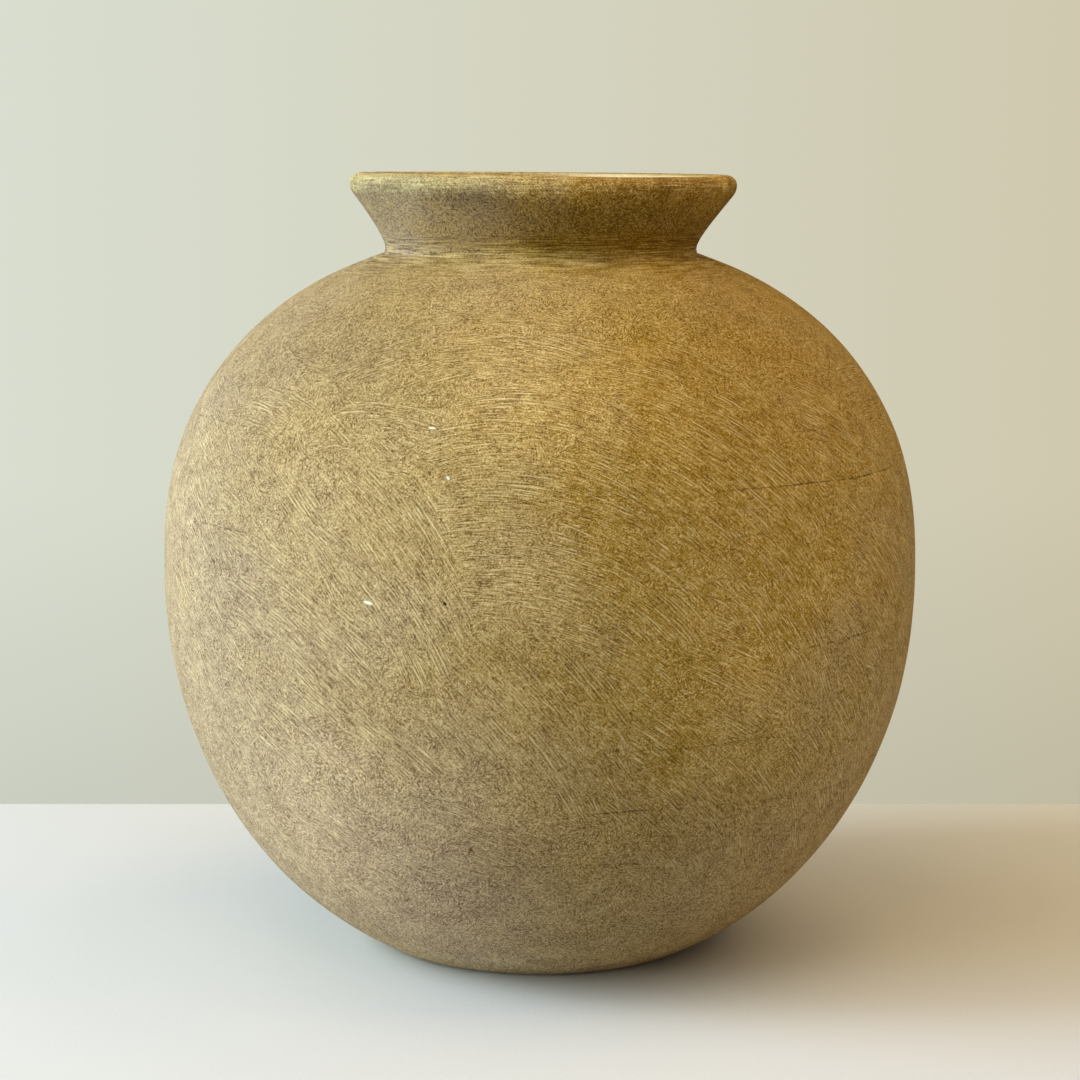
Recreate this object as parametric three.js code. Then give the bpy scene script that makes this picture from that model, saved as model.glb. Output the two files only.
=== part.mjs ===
// Globular terracotta jar with a flaring collar, built up in luted rings of clay.
// Millimetres, +Z up. The origin is the middle of the foot, on the surface that the jar stands on.
import * as THREE from "three";

// Body outline
const bellyRadius = 150; // widest half-width
const bellyHeight = 152.6; // height of the widest place
const footRadius = 63.2; // flat that the jar stands on
const neckRadius = 61.3; // narrowest place, where the collar grows out of the shoulder
const underFullness = 2.07; // power of the curve under the belly: 2 is an ellipse, more is fuller
const overFullness = 2.27; // power of the curve over the belly

// Wall and floor
const wallThickness = 8;
const floorThickness = 12;
const slabEdge = 8; // height of the foot slab at its rim, where its top is bevelled

// Rings of clay, by the height that each one adds
const heelRingHeight = 52;
const lowerRingHeights = [20.5, 25.5, 32];
const bellyRingHeight = 40;
const upperRingHeights = [19, 18, 15.5];
const shoulderRingHeight = 45.9; // up to the neck
const scarfDrop = 5; // how far each ring laps down inside the one below
const slipFilm = 0.3; // slip that lutes each joint

// Collar and rim
const collarRise = 31.1; // from the neck to the top of the lip
const collarFlare = 15; // how far the lip stands out past the neck
const collarWall = 7.5;
const neckCove = 8.7; // radius that eases the neck into the flare
const rimBand = 8.1; // height of the coil that ends the collar
const lipOverhang = 1.4; // how far the lip stands out past the foot of that coil
const lipDepth = 3.9; // from the top of the lip down to its widest place
const lipRound = 4.2; // how far the lip rounds in from its widest place to its top

// Facets
const roundSteps = 48; // facets round the jar
const stepTurn = THREE.MathUtils.degToRad(5.5); // longest step along the body's curve
const collarSteps = 6;
const beadSteps = 4;
const lipSteps = 4;

// Fired clay under brushed slip
const clayRoughness = 0.95;
const bodyColour = 0xb0986a;
const footColour = 0xa08a60;
const collarColour = 0xa48c5e;
const rimColour = 0xc0aa7c;

const { lerp } = THREE.MathUtils;
const point = (radius, height) => new THREE.Vector2(radius, height);

// The rings stand on the slab one after another, and the last one ends at the neck.
const courses = [
  { name: "heel_ring", height: heelRingHeight },
  ...lowerRingHeights.map((height, index) => ({ name: `lower_ring_${index + 1}`, height })),
  { name: "belly_ring", height: bellyRingHeight },
  ...upperRingHeights.map((height, index) => ({ name: `upper_ring_${index + 1}`, height })),
  { name: "shoulder_ring", height: shoulderRingHeight },
];
const neckHeight = courses.reduce((seam, { height }) => seam + height, slabEdge);

// One half of the body's outline is a superellipse about the belly, as wide as endRadius at that distance.
function halfOutline(side, distance, endRadius, power) {
  const reach = distance / (1 - (endRadius / bellyRadius) ** power) ** (1 / power);
  return { side, reach, power };
}

const under = halfOutline(-1, bellyHeight, footRadius, underFullness);
const over = halfOutline(1, neckHeight - bellyHeight, neckRadius, overFullness);

function halfAt(height) {
  return height < bellyHeight ? under : over;
}

// How far a height is from the belly, as a share of the half's reach on the line inset mm inside the face.
function shareAt(half, height, inset) {
  return Math.abs(height - bellyHeight) / (half.reach - inset);
}

// Radius of the wall at a height, on that line.
function wallRadius(height, inset) {
  const half = halfAt(height);
  return (bellyRadius - inset) * (1 - shareAt(half, height, inset) ** half.power) ** (1 / half.power);
}

// How much that radius changes for each millimetre upwards.
function wallSlope(height, inset) {
  const { side, reach, power } = halfAt(height);
  const share = shareAt({ reach }, height, inset);
  const stretch = (bellyRadius - inset) / (reach - inset);
  return -side * stretch * share ** (power - 1) * (1 - share ** power) ** (1 / power - 1);
}

// Height at which the inset line over the belly has narrowed to a radius.
function shoulderHeight(radius, inset) {
  const share = radius / (bellyRadius - inset);
  return bellyHeight + (over.reach - inset) * (1 - share ** over.power) ** (1 / over.power);
}

// Points of the inset line from one height up to another, on one side of the belly.
function quarterLine(half, from, to, inset) {
  const start = Math.asin(shareAt(half, from, inset) ** (half.power / 2));
  const end = Math.asin(shareAt(half, to, inset) ** (half.power / 2));
  const steps = Math.max(1, Math.ceil(Math.abs(end - start) / stepTurn));
  return Array.from({ length: steps + 1 }, (_, step) => {
    const turn = lerp(start, end, step / steps);
    const radius = (bellyRadius - inset) * Math.cos(turn) ** (2 / half.power);
    const rise = (half.reach - inset) * Math.sin(turn) ** (2 / half.power);
    return point(radius, bellyHeight + half.side * rise);
  });
}

// Points of the inset line from one height up to another, across the belly if it lies between them.
function wallLine(from, to, inset) {
  if (to <= bellyHeight) return quarterLine(under, from, to, inset);
  if (from >= bellyHeight) return quarterLine(over, from, to, inset);
  const below = quarterLine(under, from, bellyHeight, inset);
  const above = quarterLine(over, bellyHeight, to, inset);
  return [...below, ...above.slice(1)];
}

// Turns a profile round the jar's axis. A ring's profile closes on itself.
function turned(profile, closes) {
  const points = closes ? [...profile, profile[0].clone()] : profile;
  const geometry = new THREE.LatheGeometry(points, roundSteps);
  geometry.rotateX(Math.PI / 2);
  return geometry;
}

function piece(name, geometry, color) {
  const material = new THREE.MeshStandardMaterial({ color, roughness: clayRoughness, metalness: 0 });
  const mesh = new THREE.Mesh(geometry, material);
  mesh.name = name;
  return mesh;
}

// A joint is the line across the wall where two pieces meet, by the height of its two ends.
// The upper piece's foot is the same line, moved square to it by the film of slip between them.
// Its ends slide up the upper piece's outer and inner lines, which have the slopes given here.
function jointBetween(outer, inner, outerSlope, innerSlope) {
  const across = point(wallRadius(outer, 0) - wallRadius(inner, wallThickness), outer - inner);
  const riseAlong = (slope) => (slipFilm * across.length()) / (across.x - across.y * slope);
  const foot = { outer: outer + riseAlong(outerSlope), inner: inner + riseAlong(innerSlope) };
  return { outer, inner, foot };
}

// The same joint between two rings of the wall.
function wallJoint(outer, inner) {
  return jointBetween(outer, inner, wallSlope(outer, 0), wallSlope(inner, wallThickness));
}

const boreRadius = neckRadius - collarWall;
const footJoint = wallJoint(slabEdge, floorThickness);
const neckJoint = jointBetween(neckHeight, shoulderHeight(boreRadius, wallThickness), 0, 0);

// The disc that the jar stands on, bevelled up to the floor so that the first ring centres on it.
function footSlab() {
  const rim = wallLine(0, footJoint.outer, 0);
  const floorEdge = point(wallRadius(footJoint.inner, wallThickness), footJoint.inner);
  const profile = [point(0, 0), ...rim, floorEdge, point(0, footJoint.inner)];
  return piece("foot_slab", turned(profile, false), footColour);
}

// One ring of the body between the joint under it and the joint over it.
function wallRing(name, lower, upper) {
  const outside = wallLine(lower.foot.outer, upper.outer, 0);
  const inside = wallLine(lower.foot.inner, upper.inner, wallThickness).reverse();
  return piece(name, turned([...outside, ...inside], true), bodyColour);
}

// The body's rings from the slab up to the neck.
function bodyRings() {
  let lower = footJoint;
  return courses.map(({ name, height }) => {
    const seam = lower.outer + height;
    const upper = seam < neckHeight ? wallJoint(seam, seam - scarfDrop) : neckJoint;
    const ring = wallRing(name, lower, upper);
    lower = upper;
    return ring;
  });
}

// The collar's outer face is a hyperbola: upright at the neck, eased by the cove into an even flare.
const rimSeam = neckHeight + collarRise - rimBand;
const seamRise = rimSeam - neckHeight;
const seamFlare = collarFlare - lipOverhang;
const flareSlope = seamFlare / Math.sqrt(seamRise ** 2 - 2 * seamFlare * neckCove);
const coveDepth = flareSlope ** 2 * neckCove;

function collarSlope(height) {
  const rise = height - neckHeight;
  return (flareSlope ** 2 * rise) / Math.hypot(coveDepth, flareSlope * rise);
}

function collarOuter(height) {
  const rise = height - neckHeight;
  return neckRadius - coveDepth + Math.hypot(coveDepth, flareSlope * rise);
}

// The wall is measured square to the flare.
function collarInner(height) {
  return collarOuter(height) - collarWall * Math.hypot(1, collarSlope(height));
}

function collarLine(from, to, radiusAt, steps) {
  return Array.from({ length: steps + 1 }, (_, step) => {
    const height = lerp(from, to, step / steps);
    return point(radiusAt(height), height);
  });
}

// The flaring collar, whose foot is a cone that sits in the bevelled mouth of the shoulder.
function neckCollar() {
  const outside = collarLine(neckJoint.foot.outer, rimSeam, collarOuter, collarSteps);
  const inside = collarLine(neckHeight, rimSeam, collarInner, collarSteps).reverse();
  const boreFoot = point(boreRadius, neckJoint.foot.inner);
  return piece("neck_collar", turned([...outside, ...inside, boreFoot], true), collarColour);
}

// Points of an ellipse's quarter from one of its ends to the other.
function quarterEllipse(centre, across, up, fromTurn) {
  return Array.from({ length: lipSteps + 1 }, (_, step) => {
    const turn = fromTurn + (Math.PI / 2) * (step / lipSteps);
    return point(centre.x + across * Math.cos(turn), centre.y + up * Math.sin(turn));
  });
}

// The coil that ends the collar: a bead outside, rounded over the top and down into the mouth.
function rimCoil() {
  const foot = rimSeam + slipFilm;
  const lipRadius = neckRadius + collarFlare;
  const lipHeight = neckHeight + collarRise - lipDepth;
  const crown = point(lipRadius - lipRound, lipHeight);
  const beadFoot = point(collarOuter(foot), foot);
  const beadTurn = foot + (lipRadius - beadFoot.x) / collarSlope(foot);
  const beadCorner = point(lipRadius, Math.min(beadTurn, lipHeight));
  const beadTop = point(lipRadius, lipHeight);
  const bead = new THREE.QuadraticBezierCurve(beadFoot, beadCorner, beadTop).getPoints(beadSteps);
  const overTop = quarterEllipse(crown, lipRound, lipDepth, 0);
  const intoMouth = quarterEllipse(crown, crown.x - collarInner(lipHeight), lipDepth, Math.PI / 2);
  const mouthFoot = point(collarInner(foot), foot);
  const profile = [...bead, ...overTop.slice(1), ...intoMouth.slice(1), mouthFoot];
  return piece("rim_coil", turned(profile, true), rimColour);
}

const jar = new THREE.Group();
jar.add(footSlab(), ...bodyRings(), neckCollar(), rimCoil());

export default jar;
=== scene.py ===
# A globular terracotta jar, brushed with slip, standing on a pale cloth by a window.
import math
import random
from functools import partial
import bpy
import numpy as np
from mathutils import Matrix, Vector


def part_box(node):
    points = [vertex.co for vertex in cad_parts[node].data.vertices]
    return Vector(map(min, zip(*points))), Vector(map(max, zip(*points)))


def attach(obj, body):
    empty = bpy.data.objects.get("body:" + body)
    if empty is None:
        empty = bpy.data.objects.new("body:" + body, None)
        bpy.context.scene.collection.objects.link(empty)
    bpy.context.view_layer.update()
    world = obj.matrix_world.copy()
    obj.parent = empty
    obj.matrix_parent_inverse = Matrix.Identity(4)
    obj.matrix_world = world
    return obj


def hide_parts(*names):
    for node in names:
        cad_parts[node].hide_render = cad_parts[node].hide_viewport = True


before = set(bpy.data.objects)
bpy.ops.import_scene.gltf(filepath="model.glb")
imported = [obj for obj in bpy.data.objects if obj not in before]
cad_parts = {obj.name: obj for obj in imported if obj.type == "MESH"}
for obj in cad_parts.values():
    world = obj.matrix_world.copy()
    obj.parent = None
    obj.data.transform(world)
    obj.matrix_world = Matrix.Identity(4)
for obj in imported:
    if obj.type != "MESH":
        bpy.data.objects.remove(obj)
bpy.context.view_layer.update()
mm = 0.001

# Lens and sensor in mm, back and height in metres, pitch in degrees downwards.
cameraView = {"lens": 91.07, "sensor": 36, "back": 1.088, "height": 0.3162, "pitch": 8.1}


def makeCamera(view):
    lens = bpy.data.cameras.new("camera")
    lens.lens, lens.sensor_width = view["lens"], view["sensor"]
    camera = bpy.data.objects.new("camera", lens)
    camera.location = (0, -view["back"], view["height"])
    camera.rotation_euler = (math.radians(90 - view["pitch"]), 0, 0)
    bpy.context.collection.objects.link(camera)
    bpy.context.scene.camera = camera


makeCamera(cameraView)
print("camera placed")


def colour(code):
    # sRGB hex to linear, with alpha
    parts = [int(code[i:i + 2], 16) / 255 for i in (1, 3, 5)]
    return [c / 12.92 if c <= 0.04045 else ((c + 0.055) / 1.055) ** 2.4 for c in parts] + [1.0]


def addNode(tree, kind, settings=None, inputs=None, output=0):
    # gives back one of the node's outputs, or all of them where output is None
    node = tree.nodes.new(kind)
    for name, value in (settings or {}).items():
        setattr(node, name, value)
    for socket, value in (inputs or {}).items():
        if isinstance(value, bpy.types.NodeSocket):
            tree.links.new(value, node.inputs[socket])
        else:
            node.inputs[socket].default_value = value
    return node.outputs if output is None else node.outputs[output]


# Kinds of node and settings that come up often
kinds = ("Math", "VectorMath", "MapRange", "TexNoise", "Mix", "SeparateXYZ", "Attribute")
maths, vector, spread, noise, mix, split, stored = ["ShaderNode" + kind for kind in kinds]
operations = ("ADD", "SUBTRACT", "MULTIPLY", "MULTIPLY_ADD", "DIVIDE", "MAXIMUM", "ABSOLUTE")
plus, minus, times, timesPlus, over, larger, size = [{"operation": name} for name in operations]
scale, unit = {"operation": "SCALE"}, {"operation": "NORMALIZE"}
colours, numbers = {"data_type": "RGBA"}, {"data_type": "FLOAT"}


# The jar's outline. Heights that a piece can be measured for come from the frame.
form = {
    "footRadius": 63.2 * mm,
    "bellyHeight": 152.6 * mm,
    "underFullness": 2.07,
    "overFullness": 2.27,
    "wall": 8 * mm,
    "slabEdge": 8 * mm,
    "scarf": 5 * mm,       # each ring laps this far down inside the one below
    "slip": 0.3 * mm,      # film between two rings
    "fullSlip": (0.12, 0.88),  # from and to these shares of the way across the wall
    "neckRadius": 61.3 * mm,
    "collarWall": 7.5 * mm,
    "flare": 15 * mm,
    "overhang": 1.4 * mm,  # of the lip past the foot of its coil
    "cove": 8.7 * mm,
    "lipDepth": 3.9 * mm,
    "lipRound": 4.2 * mm,
    "footEdge": 1.6 * mm,  # rounded by wear
    "wornFoot": [(-1.0, 0.0), (-0.3, 0.06), (0.6, 0.38)],  # out and up, in shares of that edge
    "neckSlip": 0.8 * mm,  # slip smeared into the corner of the neck
    "smear": 1.6 * mm,     # and how far up and down
}
ringNames = ["heel_ring", "lower_ring_1", "lower_ring_2", "lower_ring_3", "belly_ring",
             "upper_ring_1", "upper_ring_2", "upper_ring_3", "shoulder_ring"]
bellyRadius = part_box("belly_ring")[1].x
seams = [form["slabEdge"]] + [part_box(name)[1].z for name in ringNames]
neckHeight = seams[-1]
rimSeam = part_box("neck_collar")[1].z
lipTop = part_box("rim_coil")[1].z
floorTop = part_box("foot_slab")[1].z


def reachOf(distance, endRadius, power):
    # half height of the superellipse that has narrowed to endRadius this far from the belly
    return distance / (1 - (endRadius / bellyRadius) ** power) ** (1 / power)


underReach = reachOf(form["bellyHeight"], form["footRadius"], form["underFullness"])
overReach = reachOf(neckHeight - form["bellyHeight"], form["neckRadius"], form["overFullness"])


def wallRadius(height, inset=0.0):
    # superellipse on each side of the belly
    height = np.asarray(height, float)
    below = height < form["bellyHeight"]
    power = np.where(below, form["underFullness"], form["overFullness"])
    reach = np.where(below, underReach, overReach) - inset
    share = np.clip(np.abs(height - form["bellyHeight"]) / reach, 0, 1)
    return (bellyRadius - inset) * (1 - share ** power) ** (1 / power)


# The collar's outline is a hyperbola that eases out of the neck and runs on nearly straight.
seamFlare = form["flare"] - form["overhang"]
flareSlope = seamFlare / math.sqrt((rimSeam - neckHeight) ** 2 - 2 * seamFlare * form["cove"])
coveDepth = flareSlope ** 2 * form["cove"]


def collarSlope(height):
    rise = np.asarray(height, float) - neckHeight
    return flareSlope ** 2 * rise / np.hypot(coveDepth, flareSlope * rise)


def collarOuter(height):
    rise = np.asarray(height, float) - neckHeight
    return form["neckRadius"] - coveDepth + np.hypot(coveDepth, flareSlope * rise)


def collarInner(height):
    return collarOuter(height) - form["collarWall"] * np.hypot(1, collarSlope(height))


detail = {
    "outerStep": 2.1 * mm, "innerStep": 6 * mm, "collarStep": 1.5 * mm,
    "grooveEdge": 0.35 * mm,
    "footRows": (0, 0.25, 0.5, 0.75, 0.93),  # as shares of the foot's radius
    "floorRows": (1, 0.9, 0.6, 0.3, 0),      # as shares of the floor's radius
    "lipSteps": 8,
    "firstBead": 0.3,  # an extra row this far up the lip's first step
    "samples": 1500, "boreSamples": 4000,
    "columns": 512, "weld": 0.01 * mm,
    "sharp": 35,  # an edge over this many degrees stays sharp
}


def evenLine(low, high, radiusAt, step):
    # points at even spacing along the outline, from low to high
    heights = np.linspace(low, high, detail["samples"])
    radii = radiusAt(heights)
    length = np.concatenate([[0], np.cumsum(np.hypot(np.diff(radii), np.diff(heights)))])
    count = max(2, math.ceil(length[-1] / step) + 1)
    stops = np.interp(np.linspace(0, length[-1], count), length, heights)
    return [(float(radiusAt(z)), float(z)) for z in stops]


def grooved(low, high, radiusAt, step):
    # an outer face has an extra row close to each joint, for the hairline to be cut in
    edge = detail["grooveEdge"]
    middle = evenLine(low + edge, high - edge, radiusAt, step)
    return [(float(radiusAt(low)), low)] + middle + [(float(radiusAt(high)), high)]


def slipGap(start, end):
    # a joint's upper face keeps its film of slip, except at its two ends
    ends = np.array([start, end])
    return [tuple(ends[0] + (ends[1] - ends[0]) * t + [0, form["slip"]]) for t in form["fullSlip"]]


boreRadius = form["neckRadius"] - form["collarWall"]
boreHeights = np.linspace(form["bellyHeight"], neckHeight, detail["boreSamples"])
boreHeight = float(np.interp(-boreRadius, -wallRadius(boreHeights, form["wall"]), boreHeights))
innerEnds = [floorTop] + [seam - form["scarf"] for seam in seams[1:-1]] + [boreHeight]


def innerWall(height):
    return wallRadius(height, form["wall"])


def boreAt(height):
    return np.full_like(height, boreRadius)


def ringSection(index):
    low, high = seams[index], seams[index + 1]
    outside = grooved(low, high, wallRadius, detail["outerStep"])
    inside = evenLine(innerEnds[index], innerEnds[index + 1], innerWall, detail["innerStep"])[::-1]
    return outside + inside + slipGap(inside[-1], outside[0]) + outside[:1]


def slabSection():
    rim = evenLine(0, seams[0], wallRadius, detail["outerStep"])[1:]
    foot, edge = form["footRadius"], form["footEdge"]
    worn = [(foot + edge * out, edge * up) for out, up in form["wornFoot"]]
    floorEdge = float(innerWall(floorTop))
    under = [(foot * t, 0) for t in detail["footRows"]]
    floor = [(floorEdge * t, floorTop) for t in detail["floorRows"]]
    return under + worn + rim + floor


def collarSection():
    outside = grooved(neckHeight, rimSeam, collarOuter, detail["collarStep"])
    inside = evenLine(neckHeight, rimSeam, collarInner, 2 * detail["collarStep"])[::-1]
    bore = evenLine(boreHeight, neckHeight, boreAt, detail["innerStep"])[-2::-1]
    return outside + inside + bore + slipGap(bore[-1], outside[0]) + outside[:1]


def quarterOver(centre, across, up, fromTurn):
    turns = np.linspace(fromTurn, fromTurn + math.pi / 2, detail["lipSteps"] + 1)
    return [(centre[0] + across * math.cos(a), centre[1] + up * math.sin(a)) for a in turns]


def rimSection():
    lipRadius = form["neckRadius"] + form["flare"]
    lipHeight = lipTop - form["lipDepth"]
    crown = (lipRadius - form["lipRound"], lipHeight)
    start = np.array([float(collarOuter(rimSeam)), rimSeam])
    turn = rimSeam + (lipRadius - start[0]) / float(collarSlope(rimSeam))
    corner, top = np.array([lipRadius, min(turn, lipHeight)]), np.array([lipRadius, lipHeight])
    steps = np.linspace(0, 1, detail["lipSteps"])
    bead = [tuple(start * (1 - t) ** 2 + corner * 2 * t * (1 - t) + top * t * t) for t in steps]
    bead.insert(1, tuple(start + (np.array(bead[1]) - start) * detail["firstBead"]))
    overTop = quarterOver(crown, form["lipRound"], form["lipDepth"], 0)
    mouth = crown[0] - float(collarInner(lipHeight))
    intoMouth = quarterOver(crown, mouth, form["lipDepth"], math.pi / 2)
    foot = evenLine(rimSeam, lipHeight, collarInner, detail["collarStep"])[-2::-1]
    return bead + overTop[1:] + intoMouth[1:] + foot + slipGap(foot[-1], bead[0]) + bead[:1]


# Every piece of clay is its section turned round the axis, with the wobble of a hand-built wall.
turning = {"Columns": detail["columns"], "Wobble": 0.45 * mm, "Wobble size": 75 * mm, "Seed": 4.0}
noiseSwing = 4.0  # noise strays by up to a quarter from its middle, and this makes that a whole


def turningTree():
    tree = bpy.data.node_groups.new("turnedClay", "GeometryNodeTree")
    sockets = {"Section": "Geometry", "Columns": "Int", "Wobble": "Float", "Wobble size": "Float",
               "Seed": "Float", "Clay": "Material"}
    for name, kind in sockets.items():
        tree.interface.new_socket(name, in_out="INPUT", socket_type="NodeSocket" + kind)
    tree.interface.new_socket("Clay body", in_out="OUTPUT", socket_type="NodeSocketGeometry")
    add = partial(addNode, tree)
    given = add("NodeGroupInput", output=None)
    # a grid with one row for each point of the section and one column for each step round the axis
    section = {"Geometry": given["Section"]}
    rows = add("GeometryNodeAttributeDomainSize", {"component": "MESH"}, section, "Point Count")
    steps = add(maths, plus, {0: given["Columns"], 1: 1})
    grid = add("GeometryNodeMeshGrid", None, {"Vertices X": steps, "Vertices Y": rows}, "Mesh")
    index = add("GeometryNodeInputIndex")
    row = add(maths, {"operation": "MODULO"}, {0: index, 1: rows})
    column = add(maths, {"operation": "FLOOR"}, {0: add(maths, over, {0: index, 1: rows})})
    turn = add(maths, over, {0: column, 1: given["Columns"]})
    angle = add(maths, times, {0: turn, 1: math.tau})
    place = add("GeometryNodeInputPosition")
    picked = dict(section, Value=place, Index=row)
    picked = add("GeometryNodeSampleIndex", {"data_type": "FLOAT_VECTOR", "domain": "POINT"}, picked)
    picked = add(split, None, {0: picked}, None)
    across = add(maths, times, {0: picked["X"], 1: add(maths, {"operation": "SINE"}, {0: angle})})
    towards = add(maths, times, {0: add(maths, {"operation": "COSINE"}, {0: angle}), 1: -1.0})
    towards = add(maths, times, {0: picked["X"], 1: towards})
    turned = add("ShaderNodeCombineXYZ", None, {"X": across, "Y": towards, "Z": picked["Z"]})
    body = add("GeometryNodeSetPosition", None, {"Geometry": grid, "Position": turned})
    body = add("GeometryNodeMergeByDistance", None, {"Geometry": body, "Distance": detail["weld"]})
    # the wall swells and sinks a little
    finer = add(maths, over, {0: 1.0, 1: given["Wobble size"]})
    where = add(vector, scale, {0: place, "Scale": finer})
    swell = {"Vector": where, "W": given["Seed"], "Scale": 1.0, "Detail": 1.5}
    swell = add(noise, {"noise_dimensions": "4D"}, swell)
    swell = add(maths, minus, {0: swell, 1: 0.5})
    swing = add(maths, times, {0: given["Wobble"], 1: noiseSwing})
    swell = add(maths, times, {0: swell, 1: swing})
    outward = add(vector, unit, {0: add(vector, times, {0: place, 1: (1, 1, 0)})})
    push = add(vector, scale, {0: outward, "Scale": swell})
    body = add("GeometryNodeSetPosition", None, {"Geometry": body, "Offset": push})
    body = add("GeometryNodeSetShadeSmooth", None, {"Geometry": body, "Shade Smooth": True})
    body = add("GeometryNodeRealizeInstances", None, {"Geometry": body})
    body = add("GeometryNodeSetMaterial", None, {"Geometry": body, "Material": given["Clay"]})
    add("NodeGroupOutput", None, {"Clay body": body}, None)
    return tree


clayTurning = turningTree()


def turnClay(name, section, clay):
    mesh = bpy.data.meshes.new(name)
    edges = [(i, i + 1) for i in range(len(section) - 1)]
    mesh.from_pydata([(r, 0, z) for r, z in section], edges, [])
    piece = bpy.data.objects.new(name, mesh)
    bpy.context.collection.objects.link(piece)
    modifier = piece.modifiers.new("turning", "NODES")
    modifier.node_group = clayTurning
    values = dict(turning, Clay=clay)
    for item in clayTurning.interface.items_tree:
        if item.in_out == "INPUT" and item.name in values:
            modifier[item.identifier] = values[item.name]
    bpy.context.view_layer.update()
    graph = bpy.context.evaluated_depsgraph_get()
    turned = piece.evaluated_get(graph)
    solid = bpy.data.meshes.new_from_object(turned, preserve_all_data_layers=True, depsgraph=graph)
    piece.modifiers.clear()
    piece.data = solid
    solid.name = name
    return piece


def ramp(values, start, end):
    # smooth step from 0 at start to 1 at end
    t = np.clip((values - start) / (end - start), 0, 1)
    return t * t * (3 - 2 * t)


# Level hairlines at the joints. Azimuth 0 faces the camera and grows to the right.
# drift: (azimuth, spread, rise in mm). shows: (from azimuth, to azimuth, strength).
hairlines = {
    "heel_ring": {"drift": [(70, 40, 0.8)], "shows": [(-12, 17, 0.75)]},
    "lower_ring_1": {"drift": [(16, 14, 2.0), (62, 20, -1.6)],
                     "shows": [(8, 17, 0.9), (20, 60, 0.55)]},
    "lower_ring_2": {"drift": [(60, 20, 0.9)], "shows": [(15, 57, 0.6)]},
    "lower_ring_3": {"drift": [(56, 10, 1.6)], "shows": [(40, 47, 0.9), (48.5, 57, 1.0)]},
    "belly_ring": {"drift": [(-54, 12, 1.2), (-12, 18, -2.8), (32, 10, 3.4)],
                   "shows": [(-60, -44, 0.8), (-30, 5, 0.5), (26, 37, 0.5)]},
    "upper_ring_1": {"drift": [(-60, 30, -1.0)], "shows": [(4, 16, 0.6), (26, 69, 1.0)]},
    "upper_ring_2": {"drift": [(-64, 20, 1.0)], "shows": [(-78, -50, 0.6), (30, 50, 0.4)]},
    "upper_ring_3": {"drift": [(40, 30, 0.8)],
                     "shows": [(-21, -12, 0.5), (-4, 3, 0.6), (9, 15, 0.5)]},
    "shoulder_ring": {"drift": [], "shows": []},
}
groove = {"least": 0.015 * mm, "depth": 0.26 * mm, "reach": 9 * mm, "onSeam": 0.02 * mm,
          "outerShare": 0.9, "begins": 1.5, "fades": 3}  # the last two in degrees
ripples = [(0.22, 9, 40), (0.12, 23, 70)]  # rise in mm, waves round the jar, and each joint's turn


# The side away from the photograph has hairlines of the same kind.
otherHairlines = {"starts": [(78, 130), (140, 195), (205, 250)], "length": (10, 34),
                  "strength": (0.4, 0.9)}


def hiddenHairlines(name):
    dice = random.Random("hairline " + name)
    length, strength = otherHairlines["length"], otherHairlines["strength"]
    starts = [dice.uniform(*window) for window in otherHairlines["starts"]]
    return [(start, start + dice.uniform(*length), dice.uniform(*strength)) for start in starts]


def showing(azimuth, windows):
    show = np.zeros_like(azimuth)
    for start, end, strength in windows:
        for turn in (-360, 0):
            begun = ramp(azimuth - turn, start - groove["begins"], start + groove["begins"])
            ended = ramp(azimuth - turn, end - groove["fades"], end + groove["fades"])
            show = np.maximum(show, strength * begun * (1 - ended))
    return show


def around(azimuth, centre):
    # degrees from the centre, from -180 to 180
    return (azimuth - centre + 180) % 360 - 180


def driftOf(azimuth, name):
    rise = np.zeros_like(azimuth)
    for height, waves, turn in ripples:
        rise += height * np.sin(np.radians(azimuth * waves + len(name) * turn))
    for centre, spread, height in hairlines[name]["drift"]:
        rise = rise + height * np.exp(-(around(azimuth, centre) / spread) ** 2)
    return rise * mm


# The collar was set a little off the axis, its rim dips to the right and the near lip sags.
handWork = {
    "lean": 1.2 * mm, "tilt": 0.0075, "leanFrom": neckHeight - 12 * mm, "leanTo": lipTop - 6 * mm,
    "sag": 0.6 * mm, "sagAt": 28, "sagSpread": 42, "sagFrom": rimSeam - 14 * mm,
    "skin": 1 * mm,  # within this of the outer face a joint drifts fully, and of the inner one not at all
    "belowNeck": 0.5 * mm,
}


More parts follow.
